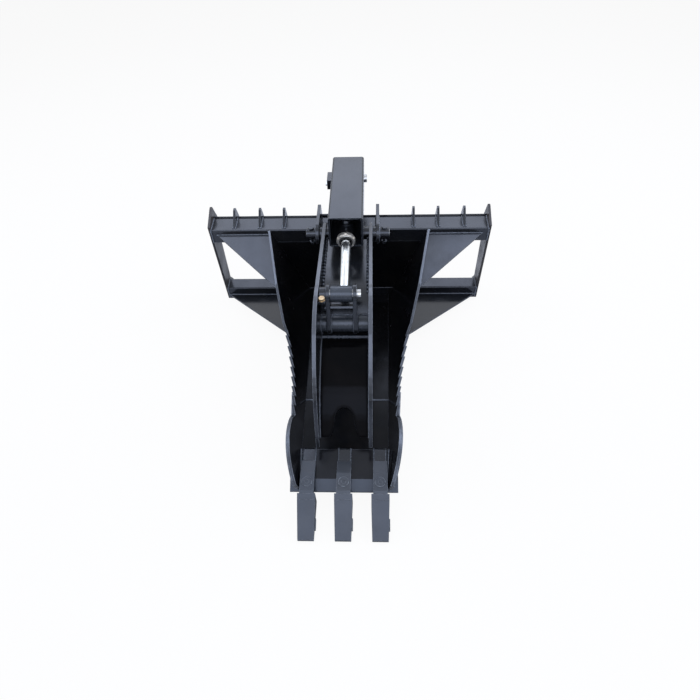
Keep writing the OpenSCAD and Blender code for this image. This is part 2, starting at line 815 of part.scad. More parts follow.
// A round boss for the flag's bolt, on a short bracket from the clevis lug
module flag_spacer() {
    bracket_t = 12;
    color(black_paint) on_clevis() difference() {
        union() {
            translate([flag_x, clevis_pivot[0] - flag_reach, flag_foot - 34]) cylinder(r = spacer_r, h = 34);
            translate([flag_x, clevis_pivot[0] - flag_reach - spacer_r + 2, flag_foot - 34])
                cube([-flag_x - clevis_half, 2 * spacer_r - 4, bracket_t]);
        }
        translate([flag_x, clevis_pivot[0] - flag_reach, flag_foot - 30]) cylinder(d = bolt_d, h = 40);
    }
}

// Cylinder and guard

module guard_tube() {
    corner_r = 9;
    slot_half = mast_gap / 2 + mast_t + 4;
    slot_front = 130;
    color(black_paint) difference() {
        on_guard() translate([0, 0, guard_rear]) linear_extrude(guard_len) difference() {
            round_square(guard_w, corner_r);
            round_square(guard_w - 2 * guard_t, corner_r - guard_t);
        }
        on_guard() translate([-slot_half, -guard_w, guard_rear - 1])
            cube([2 * slot_half, guard_w, slot_front - guard_rear + 1]);
        translate([-guard_w, base_pivot[0], base_pivot[1]]) rotate([0, 90, 0])
            cylinder(d = pin_d, h = 2 * guard_w);
    }
}

base_face = 26;
port_at = [62, barrel_len - 52];
port_r = 9;
port_boss_h = 12;

module cylinder_barrel() {
    base_t = 18;
    color(black_paint) on_cylinder() difference() {
        union() {
            translate([0, 0, base_face]) cylinder(d = barrel_d, h = barrel_len - base_face);
            for (z = port_at) translate([0, 0, z]) rotate([-90, 0, 0])
                cylinder(d = 28, h = barrel_d / 2 + port_boss_h);
        }
        translate([0, 0, base_face + base_t]) cylinder(d = barrel_bore, h = barrel_len);
        for (z = port_at) translate([0, 0, z]) rotate([-90, 0, 0])
            cylinder(r = port_r, h = barrel_d / 2 + port_boss_h + 1);
        rotate([0, 90, 0]) cylinder(d = 2 * base_face + 12, h = eye_w + 2, center = true);
    }
}

module cylinder_base_eye() {
    color(black_paint) across(eye_w / 2) translate(base_pivot) difference() {
        circle(base_face + 6);
        circle(pin_d / 2);
    }
}

module port_plugs() {
    seat = barrel_d / 2 + port_boss_h;
    color(steel) on_cylinder() for (z = port_at) translate([0, 0, z]) rotate([-90, 0, 0]) {
        translate([0, 0, seat - 8]) cylinder(r = port_r, h = 8);
        translate([0, 0, seat]) linear_extrude(7) hex_2d(22);
    }
}

module gland_nut() {
    gland_d = 69;
    gland_t = 16;
    sleeve = 30;
    notch = 9;
    color(steel) on_cylinder() difference() {
        union() {
            translate([0, 0, barrel_len]) cylinder(d = gland_d, h = gland_t - 3);
            translate([0, 0, barrel_len]) cylinder(d = gland_d - 6, h = gland_t);
            translate([0, 0, barrel_len - sleeve]) cylinder(d = barrel_bore, h = sleeve);
        }
        translate([0, 0, barrel_len - sleeve - 1])
            cylinder(d = rod_d + 2 * slide_room, h = sleeve + gland_t + 2);
        for (a = [0 : 60 : 300]) rotate([0, 0, a + 30])
            translate([gland_d / 2 - 5, -notch / 2, barrel_len + gland_t - 9]) cube([8, notch, 10]);
    }
}

module base_pin() {
    left = guard_w / 2 + flag_w;
    right = guard_w / 2 + pin_stub;
    color(steel) translate([-left, base_pivot[0], base_pivot[1]]) rotate([0, 90, 0])
        cylinder(d = pin_d, h = left + right);
}

module base_pin_flag() {
    block = 50;
    color(black_paint) difference() {
        on_guard() translate([-guard_w / 2 - flag_w, -20, -18]) cube([flag_w, 40, block + 14]);
        translate([-guard_w, base_pivot[0], base_pivot[1]]) rotate([0, 90, 0])
            cylinder(d = pin_d, h = guard_w);
        on_guard() translate([-guard_w, 0, 32]) rotate([0, 90, 0]) cylinder(d = 10, h = guard_w);
    }
}

module base_flag_bolt() {
    color(steel) on_guard() translate([-guard_w / 2 - flag_w, 0, 32]) rotate([0, 90, 0]) {
        cylinder(d = 10, h = flag_w);
        translate([0, 0, -6.4]) linear_extrude(6.4) hex_2d(16);
    }
}

// Rod

pin_span = norm(clevis_pivot - base_pivot);
piston_at = 300;
piston_len = 32;
rod_end_r = 28;
rod_seat = sqrt(rod_end_r * rod_end_r - rod_d * rod_d / 4);

module piston_rod() {
    color(chrome) on_cylinder() difference() {
        translate([0, 0, piston_at]) cylinder(d = rod_d, h = pin_span - piston_at);
        translate([0, 0, pin_span]) rotate([0, 90, 0]) cylinder(r = rod_end_r, h = 2 * rod_d, center = true);
    }
}

module piston() {
    groove = 5;
    color(steel) on_cylinder() translate([0, 0, piston_at]) difference() {
        cylinder(d = barrel_bore - 2 * slide_room, h = piston_len);
        translate([0, 0, -1]) cylinder(d = rod_d, h = piston_len + 2);
        translate([0, 0, (piston_len - groove) / 2]) difference() {
            cylinder(d = barrel_bore, h = groove);
            cylinder(d = barrel_bore - 2 * slide_room - 3, h = groove);
        }
    }
}

module rod_end_tube() {
    end_w = clevis_gap - 2 * 2.2;
    color(black_paint) on_clevis() across(end_w / 2) translate(clevis_pivot) difference() {
        circle(rod_end_r);
        circle(pin_d / 2 + run_clear);
    }
}

rest() coupler_top_rail();
rest() coupler_hook_lip();
rest() coupler_bottom_rail();
rest() coupler_latch_flange();
rest() coupler_side_left();
rest() coupler_side_right();
rest() hook_fins();
rest() bucket_back();
rest() bucket_belly();
rest() bucket_wall_left();
rest() bucket_wall_right();
rest() wing_gusset_upper_left();
rest() wing_gusset_upper_right();
rest() wing_gusset_lower_left();
rest() wing_gusset_lower_right();
rest() cutting_edge();
rest() side_cutter_left();
rest() side_cutter_right();
rest() tooth_shank_left();
rest() tooth_shank_middle();
rest() tooth_shank_right();
rest() tooth_left();
rest() tooth_middle();
rest() tooth_right();
rest() tooth_pins();
rest() pivot_ear_left();
rest() pivot_ear_right();
rest() pivot_boss_left();
rest() pivot_boss_right();
rest() pivot_pin();
rest() pivot_bolts();
rest() pivot_nuts();
rest() mast_base_plate();
rest() mast_lug_left();
rest() mast_lug_right();
rest() mast_tie_bar();
rest() arm_plate_left();
rest() arm_plate_right();
rest() arm_pivot_tube();
rest() arm_throat_skin();
rest() arm_front_skin();
rest() arm_cross_tube();
rest() clevis_lug_left();
rest() clevis_lug_right();
rest() clevis_tie_plate();
rest() clevis_pin();
rest() clevis_flag();
rest() clevis_bolt();
rest() flag_spacer();
rest() guard_tube();
rest() cylinder_barrel();
rest() cylinder_base_eye();
rest() gland_nut();
rest() port_plugs();
rest() base_pin();
rest() base_pin_flag();
rest() base_flag_bolt();
rest() piston_rod();
rest() piston();
rest() rod_end_tube();
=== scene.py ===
import bmesh
import bpy
import math
from mathutils import Matrix, Vector
from mathutils.geometry import interpolate_bezier


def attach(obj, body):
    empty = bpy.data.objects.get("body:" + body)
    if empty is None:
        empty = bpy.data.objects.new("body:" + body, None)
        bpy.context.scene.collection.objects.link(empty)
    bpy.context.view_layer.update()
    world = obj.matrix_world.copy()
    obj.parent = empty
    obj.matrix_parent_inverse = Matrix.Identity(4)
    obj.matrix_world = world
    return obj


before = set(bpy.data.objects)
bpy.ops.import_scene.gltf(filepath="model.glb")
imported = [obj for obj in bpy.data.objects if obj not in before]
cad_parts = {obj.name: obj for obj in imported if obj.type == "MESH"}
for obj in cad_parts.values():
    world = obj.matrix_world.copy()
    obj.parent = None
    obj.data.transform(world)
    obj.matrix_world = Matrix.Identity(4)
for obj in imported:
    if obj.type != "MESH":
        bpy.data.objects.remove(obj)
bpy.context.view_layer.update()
print("frame loaded:", len(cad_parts), "pieces")

# The outlines are drawn on the coupler, in millimetres, and the whole part then leans forward to rest:
# tilt is in degrees, and the other two put the middle and the ground at zero
lean = {"tilt": 3.0860022, "middleY": -449.53177, "floorZ": -418.39239}
leanTurn = Matrix.Rotation(math.radians(lean["tilt"]), 3, "X")


def atRest(point):  # a point on the coupler, in mm, to its place at rest, in metres
    p = leanTurn @ Vector(point)
    return Vector((p.x, p.y - lean["middleY"], p.z - lean["floorZ"])) / 1000


def linear(hexColour):
    parts = [int(hexColour[i:i + 2], 16) / 255 for i in (1, 3, 5)]
    return [c / 12.92 if c <= 0.04045 else ((c + 0.055) / 1.055) ** 2.4 for c in parts] + [1]


# An input that is given as a socket is linked, and any other is set as a value
def addNode(tree, kind, settings=None, inputs=None):
    node = tree.nodes.new(kind)
    for name, value in (settings or {}).items():
        setattr(node, name, value)
    for key, value in (inputs or {}).items():
        if isinstance(value, bpy.types.NodeSocket):
            tree.links.new(value, node.inputs[key])
        else:
            node.inputs[key].default_value = value
    return node


def newMaterial(name):
    material = bpy.data.materials.new(name)
    material.use_nodes = True
    material.node_tree.nodes.clear()
    return material, material.node_tree


def newObject(name, data):
    thing = bpy.data.objects.new(name, data)
    bpy.context.scene.collection.objects.link(thing)
    return thing


# Cloudy patterns that break up a finish: how wide a patch is in mm, how fine its outline is, and the
# part of the noise that is kept. For tone and grain, mm is a multiple of the metal's own grain.
patterns = {
    "chips": {"mm": 14, "detail": 4, "low": 0.35, "high": 0.62},
    "dustAndReflection": {"mm": 160, "detail": 8, "low": 0.42, "high": 0.72},
    "rub": {"mm": 70, "detail": 6, "low": 0.35, "high": 0.70},
    "bloom": {"mm": 6, "detail": 4, "low": 0.40, "high": 0.70},
    "tone": {"mm": 4, "detail": 5, "low": 0.35, "high": 0.70},
    "grain": {"mm": 1, "detail": 4, "low": 0.30, "high": 0.70},
}
patchRoughness = 0.6


def patches(tree, coords, kind, least, most, times=1):
    pattern = patterns[kind]
    noise = addNode(tree, "ShaderNodeTexNoise", None,
                    {"Vector": coords, "Scale": 1000 / (pattern["mm"] * times),
                     "Detail": pattern["detail"], "Roughness": patchRoughness})
    kept = addNode(tree, "ShaderNodeMapRange", None,
                   {0: noise.outputs[0], 1: pattern["low"], 2: pattern["high"], 3: least, 4: most})
    return kept.outputs[0]


# Black powder coat, sprayed and baked on steel, and wet black paint on edge, teeth and welds. The eye
# sees a gloss skin with faint orange peel, pale on sharp edges, dulled by yard dust; the pale edges are
# partly rubbed paint and partly a painted highlight.
# Real peel is about 2 mm across, too fine to show, so it is drawn at 3 to 9 mm. shine is the specular
# level, smooth and worn are the roughness where the coat is clean and where it is rubbed, peelDepth is in
# metres, edgeMm is how far the pale edge, rubbed paint and painted highlight, reaches in, and roundMm
# rounds the corners.
coats = {
    # rails, fins, gussets, lugs, barrel and all that isn't listed in finishOf: an even dark grey gloss
    "powderCoatPlate": {"colour": "#15171b", "edge": "#666c74", "dustAndReflection": "#5a574f", "dustAndReflectionShare": 0.10,
                        "shine": 0.60, "smooth": 0.16, "worn": 0.28, "peelMm": 7, "peelDepth": 0.00010,
                        "edgeMm": 2.6, "roundMm": 2.6},
    # cross tube and rod end: the plate's coat drawn greyer, as painted light for their broad highlight,
    # and softer
    "powderCoatTubeLit": {"colour": "#343940", "edge": "#666c74", "dustAndReflection": "#5a574f", "dustAndReflectionShare": 0.10,
                       "shine": 0.60, "smooth": 0.22, "worn": 0.34, "peelMm": 7, "peelDepth": 0.00010,
                       "edgeMm": 2.6, "roundMm": 2.6},
    # belly and back: the inside of the bowl, drawn nearly black and with a weak mirror image as painted
    # shade
    "powderCoatBowlShade": {"colour": "#0b0c0e", "edge": "#5a5f66", "dustAndReflection": "#47423c", "dustAndReflectionShare": 0.10,
                       "shine": 0.13, "smooth": 0.12, "worn": 0.30, "peelMm": 9, "peelDepth": 0.00012,
                       "edgeMm": 2.6, "roundMm": 2.6},
    # arm plates: dark sides, and pale cut edges, partly rubbed paint and partly painted highlight; top is
    # a painted light on faces that look up
    "powderCoatArm": {"colour": "#131519", "edge": "#8c929a", "dustAndReflection": "#54524c", "dustAndReflectionShare": 0.08,
                      "shine": 0.60, "smooth": 0.16, "worn": 0.28, "peelMm": 7, "peelDepth": 0.00010,
                      "edgeMm": 3.4, "roundMm": 2.6, "top": "#4c4f55"},
    # coupler sides: brownish and heavily dusted, partly real dust and partly a painted reflection of the
    # ground, closer to satin than to gloss
    "powderCoatSide": {"colour": "#191817", "edge": "#5d5e60", "dustAndReflection": "#6b6158", "dustAndReflectionShare": 0.30,
                       "shine": 0.32, "smooth": 0.26, "worn": 0.44, "peelMm": 7, "peelDepth": 0.00014,
                       "edgeMm": 2.2, "roundMm": 2.2},
    # bucket walls and side cutters: black inside, with pale upper edges and saw teeth, partly rubbed paint
    # and partly painted highlight; top is a painted light on faces that look up
    "powderCoatWall": {"colour": "#0f1013", "edge": "#8c929a", "dustAndReflection": "#47423c", "dustAndReflectionShare": 0.12,
                       "shine": 0.62, "smooth": 0.14, "worn": 0.28, "peelMm": 9, "peelDepth": 0.00012,
                       "edgeMm": 3.2, "roundMm": 2.6, "top": "#3a3e45"},
    # front skin of the arm: rolled plate, drawn nearly black with a faint mirror image as painted shade,
    # whose flats run into one soft bend
    "powderCoatSkinShade": {"colour": "#0b0b0d", "edge": "#4a4f56", "dustAndReflection": "#3c342e", "dustAndReflectionShare": 0.10,
                       "shine": 0.06, "smooth": 0.10, "worn": 0.22, "peelMm": 9, "peelDepth": 0.00010,
                       "edgeMm": 1.6, "roundMm": 18},
    # guard tube: drawn steel is the smoothest ground, so the coat is even and has hardly any peel
    "powderCoatGuard": {"colour": "#191c21", "edge": "#6a7078", "dustAndReflection": "#5f5d57", "dustAndReflectionShare": 0.05,
                        "shine": 0.58, "smooth": 0.20, "worn": 0.26, "peelMm": 6, "peelDepth": 0.00006,
                        "edgeMm": 1.8, "roundMm": 1.8},
    # cutting edge: hard plate in thin paint; its bevel, in front of bevelStart in metres, is drawn paler
    # as a painted reflection
    "paintedEdgePlate": {"colour": "#121316", "edge": "#7c828a", "dustAndReflection": "#3d3836", "dustAndReflectionShare": 0.12,
                         "shine": 0.30, "smooth": 0.12, "worn": 0.24, "peelMm": 7, "peelDepth": 0.00010,
                         "edgeMm": 2.2, "roundMm": 2.2, "paintedBevelSheen": "#3c4148", "bevelStart": -0.4923},
    # tooth shanks: thick gloss paint over a forging, with a small peel
    "paintedShank": {"colour": "#15171b", "edge": "#7b8188", "dustAndReflection": "#4d4a45", "dustAndReflectionShare": 0.10,
                     "shine": 0.55, "smooth": 0.12, "worn": 0.22, "peelMm": 5, "peelDepth": 0.00012,
                     "edgeMm": 2.4, "roundMm": 2.4},
    # teeth and their pins: grey satin paint over the grain of a sand casting
    "paintedCastTeeth": {"colour": "#2e3238", "edge": "#7b8188", "dustAndReflection": "#625f58", "dustAndReflectionShare": 0.10,
                         "shine": 0.55, "smooth": 0.32, "worn": 0.44, "peelMm": 4, "peelDepth": 0.00020,
                         "edgeMm": 2.4, "roundMm": 2.4},
    # weld beads: paint pooled over the ripples, which glint one by one; drawn greyer than the black paint,
    # as a painted highlight
    "paintedWeldGlint": {"colour": "#474c54", "edge": "#7a8088", "dustAndReflection": "#625f58", "dustAndReflectionShare": 0.10,
                    "shine": 0.80, "smooth": 0.18, "worn": 0.32, "peelMm": 3, "peelDepth": 0.00015,
                    "edgeMm": 0.8, "roundMm": 0.8},
}

# What all the coats share. The two edge values are the cosine between the rounded normal and the true
# one where the pale edge, rubbed paint and painted highlight, starts and where it is full. The two up
# values are the part of the normal that points up where a coat's top colour, a painted light on faces
# that look up, starts and where it is full.
# tint is a painted cool cast on every mirror image, standing in for part of the cool daylight
paint = {"ior": 1.5, "tint": "#dfe8fb", "edgeStart": 0.995, "edgeFull": 0.86, "edgeSamples": 4,
         "leastRub": 0.25, "upStart": 0.45, "upFull": 0.75, "peelDetail": 2, "peelStrength": 0.5,
         "cornerSamples": 8}


def coatMaterial(name, coat):
    material, tree = newMaterial(name)
    texture = addNode(tree, "ShaderNodeTexCoord")
    coords = texture.outputs["Object"]
    geometry = addNode(tree, "ShaderNodeNewGeometry")
    rounded = addNode(tree, "ShaderNodeBevel", {"samples": paint["edgeSamples"]},
                      {"Radius": coat["edgeMm"] / 1000})
    alike = addNode(tree, "ShaderNodeVectorMath", {"operation": "DOT_PRODUCT"},
                    {0: rounded.outputs[0], 1: geometry.outputs["Normal"]})
    onEdge = addNode(tree, "ShaderNodeMapRange", None,
                     {0: alike.outputs["Value"], 1: paint["edgeStart"], 2: paint["edgeFull"],
                      3: 0.0, 4: 1.0})
    edgeWearAndHighlight = addNode(tree, "ShaderNodeMath", {"operation": "MULTIPLY"},
                     {0: onEdge.outputs[0], 1: patches(tree, coords, "chips", paint["leastRub"], 1.0)})
    colour = addNode(tree, "ShaderNodeMix", {"data_type": "RGBA"},
                     {0: patches(tree, coords, "dustAndReflection", 0.0, coat["dustAndReflectionShare"]),
                      6: linear(coat["colour"]), 7: linear(coat["dustAndReflection"])})
    if "paintedBevelSheen" in coat:  # painted reflection: the ground bevel is drawn paler than the plate behind it
        place = addNode(tree, "ShaderNodeSeparateXYZ", None, {0: coords})
        onBevel = addNode(tree, "ShaderNodeMath", {"operation": "LESS_THAN"},
                          {0: place.outputs["Y"], 1: coat["bevelStart"]})
        colour = addNode(tree, "ShaderNodeMix", {"data_type": "RGBA"},
                         {0: onBevel.outputs[0], 6: colour.outputs[2], 7: linear(coat["paintedBevelSheen"])})
    if "top" in coat:  # painted light: faces that look up are drawn in a paler top colour
        facing = addNode(tree, "ShaderNodeSeparateXYZ", None, {0: texture.outputs["Normal"]})
        paintedTopLight = addNode(tree, "ShaderNodeMapRange", None,
                         {0: facing.outputs["Z"], 1: paint["upStart"], 2: paint["upFull"],
                          3: 0.0, 4: 1.0})
        colour = addNode(tree, "ShaderNodeMix", {"data_type": "RGBA"},
                         {0: paintedTopLight.outputs[0], 6: colour.outputs[2], 7: linear(coat["top"])})
    # the pale edge colour: partly rubbed paint, partly a painted highlight on sharp edges
    colour = addNode(tree, "ShaderNodeMix", {"data_type": "RGBA"},
                     {0: edgeWearAndHighlight.outputs[0], 6: colour.outputs[2], 7: linear(coat["edge"])})
    peel = addNode(tree, "ShaderNodeTexNoise", None,
                   {"Vector": coords, "Scale": 1000 / coat["peelMm"], "Detail": paint["peelDetail"]})
    corners = addNode(tree, "ShaderNodeBevel", {"samples": paint["cornerSamples"]},
                      {"Radius": coat["roundMm"] / 1000})
    bump = addNode(tree, "ShaderNodeBump", None,
                   {"Strength": paint["peelStrength"], "Distance": coat["peelDepth"],
                    "Height": peel.outputs[0], "Normal": corners.outputs[0]})
    shader = addNode(tree, "ShaderNodeBsdfPrincipled", None,
                     {"Base Color": colour.outputs[2], "IOR": paint["ior"],
                      "Roughness": patches(tree, coords, "rub", coat["smooth"], coat["worn"]),
                      "Specular IOR Level": coat["shine"], "Specular Tint": linear(paint["tint"]),
                      "Normal": bump.outputs[0]})
    addNode(tree, "ShaderNodeOutputMaterial", None, {"Surface": shader.outputs[0]})
    return material


# Bare metal, whose colour drifts towards a second one in patches of four grains. Real grinding and turning
# marks are a tenth of a millimetre, so grainMm is drawn coarser, to show as a slight unevenness of gloss.
metals = {
    # hard chrome, ground and polished: a clean, bright and slightly soft mirror
    "hardChrome": {"colour": "#dfe3e6", "drift": "#cdd4da", "smooth": 0.16, "worn": 0.20, "grainMm": 3},
    # turned steel on pins, piston, plugs and the flag's bolt: bright, with a spread highlight
    "turnedSteel": {"colour": "#c4c6c8", "drift": "#9a9da1", "smooth": 0.22, "worn": 0.38, "grainMm": 4},
    # zinc plate on the gland nut: pale and silky, slightly warm
    "brightZinc": {"colour": "#d9d7d3", "drift": "#b4b1ac", "smooth": 0.36, "worn": 0.50, "grainMm": 4},
    # yellow chromate on the zinc of the clevis bolt: pale gold that drifts to brown
    "yellowZinc": {"colour": "#ccb999", "drift": "#a08a72", "smooth": 0.28, "worn": 0.42, "grainMm": 5},
}


def metalMaterial(name, metal):
    material, tree = newMaterial(name)
    coords = addNode(tree, "ShaderNodeTexCoord").outputs["Object"]
    colour = addNode(tree, "ShaderNodeMix", {"data_type": "RGBA"},
                     {0: patches(tree, coords, "tone", 0.0, 1.0, metal["grainMm"]),
                      6: linear(metal["colour"]), 7: linear(metal["drift"])})
    gloss = patches(tree, coords, "grain", metal["smooth"], metal["worn"], metal["grainMm"])
    shader = addNode(tree, "ShaderNodeBsdfPrincipled", None,
                     {"Base Color": colour.outputs[2], "Roughness": gloss, "Metallic": 1.0})
    addNode(tree, "ShaderNodeOutputMaterial", None, {"Surface": shader.outputs[0]})
    return material


# Moulded nitrile rubber on the rod wiper: matt black with a fine grey bloom
rubber = {"colour": "#0e0e0f", "bloom": "#232324", "mostBloom": 0.5, "roughness": 0.62}


def rubberMaterial(name):
    material, tree = newMaterial(name)
    coords = addNode(tree, "ShaderNodeTexCoord").outputs["Object"]
    colour = addNode(tree, "ShaderNodeMix", {"data_type": "RGBA"},
                     {0: patches(tree, coords, "bloom", 0.0, rubber["mostBloom"]),
                      6: linear(rubber["colour"]), 7: linear(rubber["bloom"])})
    shader = addNode(tree, "ShaderNodeBsdfPrincipled", None,
                     {"Base Color": colour.outputs[2], "Roughness": rubber["roughness"]})
    addNode(tree, "ShaderNodeOutputMaterial", None, {"Surface": shader.outputs[0]})
    return material


finishes = {name: coatMaterial(name, coat) for name, coat in coats.items()}
finishes.update({name: metalMaterial(name, metal) for name, metal in metals.items()})
finishes["mouldedRubber"] = rubberMaterial("mouldedRubber")
print("finishes made:", len(finishes))

# The CAD pieces that take another finish than powderCoatPlate
finishOf = {
    "powderCoatBowlShade": ["bucket_belly", "bucket_back"],
    "powderCoatWall": ["bucket_wall_left", "bucket_wall_right", "side_cutter_left",
                       "side_cutter_right"],
    "paintedEdgePlate": ["cutting_edge"],
    "powderCoatSkinShade": ["arm_front_skin"],
    "powderCoatArm": ["arm_plate_left", "arm_plate_right"],
    "powderCoatTubeLit": ["arm_cross_tube", "rod_end_tube"],
    "powderCoatSide": ["coupler_side_left", "coupler_side_right"],
    "powderCoatGuard": ["guard_tube"],
    "paintedShank": ["tooth_shank_left", "tooth_shank_middle", "tooth_shank_right"],
    "paintedCastTeeth": ["tooth_left", "tooth_middle", "tooth_right", "tooth_pins"],
    "hardChrome": ["piston_rod"],
    "turnedSteel": ["pivot_pin", "clevis_pin", "base_pin", "base_flag_bolt", "piston",
                    "port_plugs"],
    "brightZinc": ["gland_nut"],
    "yellowZinc": ["clevis_bolt"],
}
finishByNode = {node: name for name, nodes in finishOf.items() for node in nodes}
for name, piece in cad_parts.items():
    material = finishes[finishByNode.get(name, "powderCoatPlate")]
    for slot in piece.material_slots:
        slot.material = material
    if not piece.material_slots:
        piece.data.materials.append(material)
print("finishes on", len(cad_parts), "pieces")


# Hand-laid weld beads: a chain of flat ripples along each joint line, each a little wider or narrower
ripple = {"pitchMm": 4.0, "narrowest": 0.80, "widest": 1.20, "length": 0.95, "segments": 8, "rings": 4}


def weldTree(material):
    tree = bpy.data.node_groups.new("weldBead", "GeometryNodeTree")
    tree.interface.new_socket("Geometry", in_out="INPUT", socket_type="NodeSocketGeometry")
    for name, kind in (("Pitch", "NodeSocketFloat"), ("Seed", "NodeSocketInt")):
        tree.interface.new_socket(name, in_out="INPUT", socket_type=kind)
    tree.interface.new_socket("Geometry", in_out="OUTPUT", socket_type="NodeSocketGeometry")
    given = addNode(tree, "NodeGroupInput")
    path = addNode(tree, "GeometryNodeMeshToCurve", None, {"Mesh": given.outputs["Geometry"]})
    steps = addNode(tree, "GeometryNodeResampleCurve", {"mode": "LENGTH"},
                    {"Curve": path.outputs[0], "Length": given.outputs["Pitch"]})
    tangent = addNode(tree, "GeometryNodeInputTangent")
    turn = addNode(tree, "FunctionNodeAlignRotationToVector", {"axis": "Z"},
                   {"Vector": tangent.outputs[0]})
    radius = addNode(tree, "GeometryNodeInputNamedAttribute", {"data_type": "FLOAT"},
                     {"Name": "beadRadius"})
    uneven = addNode(tree, "FunctionNodeRandomValue", {"data_type": "FLOAT"},
                     {2: ripple["narrowest"], 3: ripple["widest"], "Seed": given.outputs["Seed"]})
    wide = addNode(tree, "ShaderNodeMath", {"operation": "MULTIPLY"},
                   {0: radius.outputs["Attribute"], 1: uneven.outputs[1]})
    deep = addNode(tree, "ShaderNodeMath", {"operation": "MULTIPLY"},
                   {0: given.outputs["Pitch"], 1: ripple["length"]})
    size = addNode(tree, "ShaderNodeCombineXYZ", None,
                   {0: wide.outputs[0], 1: wide.outputs[0], 2: deep.outputs[0]})
    ball = addNode(tree, "GeometryNodeMeshUVSphere", None,
                   {"Segments": ripple["segments"], "Rings": ripple["rings"], "Radius": 1.0})
    soft = addNode(tree, "GeometryNodeSetShadeSmooth", None, {"Geometry": ball.outputs["Mesh"]})
    laid = addNode(tree, "GeometryNodeInstanceOnPoints", None,
                   {"Points": steps.outputs[0], "Instance": soft.outputs[0],
                    "Rotation": turn.outputs[0], "Scale": size.outputs[0]})
    real = addNode(tree, "GeometryNodeRealizeInstances", None, {"Geometry": laid.outputs[0]})
    painted = addNode(tree, "GeometryNodeSetMaterial", None,
                      {"Geometry": real.outputs[0], "Material": material})
    addNode(tree, "NodeGroupOutput", None, {"Geometry": painted.outputs[0]})
    return tree


beadTree = weldTree(finishes["paintedWeldGlint"])
beadSocket = {s.name: s.identifier for s in beadTree.interface.items_tree if s.in_out == "INPUT"}


def weldPiece(name, body, lines, seed):
    points, edges, radii = [], [], []
    for radiusMm, path in lines:
        first = len(points)
        points += [atRest(p) for p in path]
        radii += [radiusMm / 1000] * len(path)
        edges += [(i, i + 1) for i in range(first, len(points) - 1)]
    mesh = bpy.data.meshes.new(name)
    mesh.from_pydata(points, edges, [])
    mesh.attributes.new("beadRadius", "FLOAT", "POINT").data.foreach_set("value", radii)
    piece = newObject(name, mesh)
    modifier = piece.modifiers.new("weldBead", "NODES")
    modifier.node_group = beadTree
    modifier[beadSocket["Pitch"]] = ripple["pitchMm"] / 1000
    modifier[beadSocket["Seed"]] = seed
    depsgraph = bpy.context.evaluated_depsgraph_get()
    finished = bpy.data.meshes.new_from_object(piece.evaluated_get(depsgraph))
    piece.modifiers.clear()
    piece.data = finished
    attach(piece, body)
    print("welds:", name, len(finished.polygons), "faces")


# The bucket wall's plane is X = base + alongY * Y + alongZ * Z, on its inner side
wall = {"base": 327.844, "alongY": 0.069182, "alongZ": 0.38961, "plate": 10.217}


def wallIn(y, z):
    return wall["base"] + wall["alongY"] * y + wall["alongZ"] * z


def wallOut(y, z):
    return wallIn(y, z) + wall["plate"]


def ring(x, centre, radius, steps=24):
    angles = [math.radians(360 * i / steps) for i in range(steps + 1)]
    return [(x, centre[0] + radius * math.cos(a), centre[1] + radius * math.sin(a)) for a in angles]


def bothSides(paths):
    return paths + [[(-x, y, z) for x, y, z in path] for path in paths]


# Coupler frame, right half: the rails run to side, their front is at face, and a bead starts or ends gap
# away from a corner
coupler = {"side": 568, "face": -0.5, "gap": 2, "railTop": -15, "railFoot": -78, "railRear": 78,
           "ledge": -353, "ledgeRear": 60, "foot": -411, "gussetY": -1, "gussetGap": 6,
           "upperGusset": -37, "upperEnd": 545, "lowerGusset": -394, "lowerEnd": 565,
           "finX": (266, 366, 472), "finHalf": 4.75, "finFront": 14,
           "earX": (112.7, 125.4), "earGap": 3, "pivot": (-46, 6), "boss": 22, "beadMm": 4.2}


def couplerWelds():
    face, gap, side = coupler["face"], coupler["gap"], coupler["side"]
    top, foot, rear = coupler["railTop"], coupler["railFoot"], coupler["railRear"]
    ledge, y = coupler["ledge"], coupler["gussetY"]
    paths = [[(wallOut(0, z) + coupler["gussetGap"], y, z), (end, y, z)]
             for z, end in ((coupler["upperGusset"], coupler["upperEnd"]),
                            (coupler["lowerGusset"], coupler["lowerEnd"]))]
    paths += [
        [(side, gap, top), (side, rear, top)],
        [(side, gap, ledge), (side, coupler["ledgeRear"], ledge)],
        [(side, face, top - gap), (side, face, foot + gap)],
        [(side, face, ledge - gap), (side, face, coupler["foot"])],
    ]
    for x in coupler["finX"]:
        for edge in (-coupler["finHalf"], coupler["finHalf"]):
            paths.append([(x + edge, coupler["finFront"], top), (x + edge, rear, top)])
    for x in coupler["earX"]:
        paths.append([(x, face, foot + coupler["earGap"]), (x, face, top), (x, rear, top)])
    paths.append(ring(coupler["earX"][1], coupler["pivot"], coupler["boss"]))
    return bothSides(paths)


# Bucket: the belly rises from heel to lip, where it steps up to the cutting edge. Each gusset's joint with
# the wall runs from its root to its apex, given as Y and Z.
bowl = {"heel": -400, "stepY": -847, "stepGap": 3, "lip": -297, "edgeTop": -293, "frontY": -996,
        "seamY": -623, "seamGap": 2, "backZ": (-22, -200, -392), "toothPitch": 123, "shankHalf": 20,
        "shankFront": -962, "gussets": (((-4, -38), (-240, -96)), ((-4, -393), (-350, -294))),
        "beadMm": 4.5}


def bellyTop(y):
    return bowl["heel"] + (bowl["lip"] - bowl["heel"]) * y / bowl["stepY"]


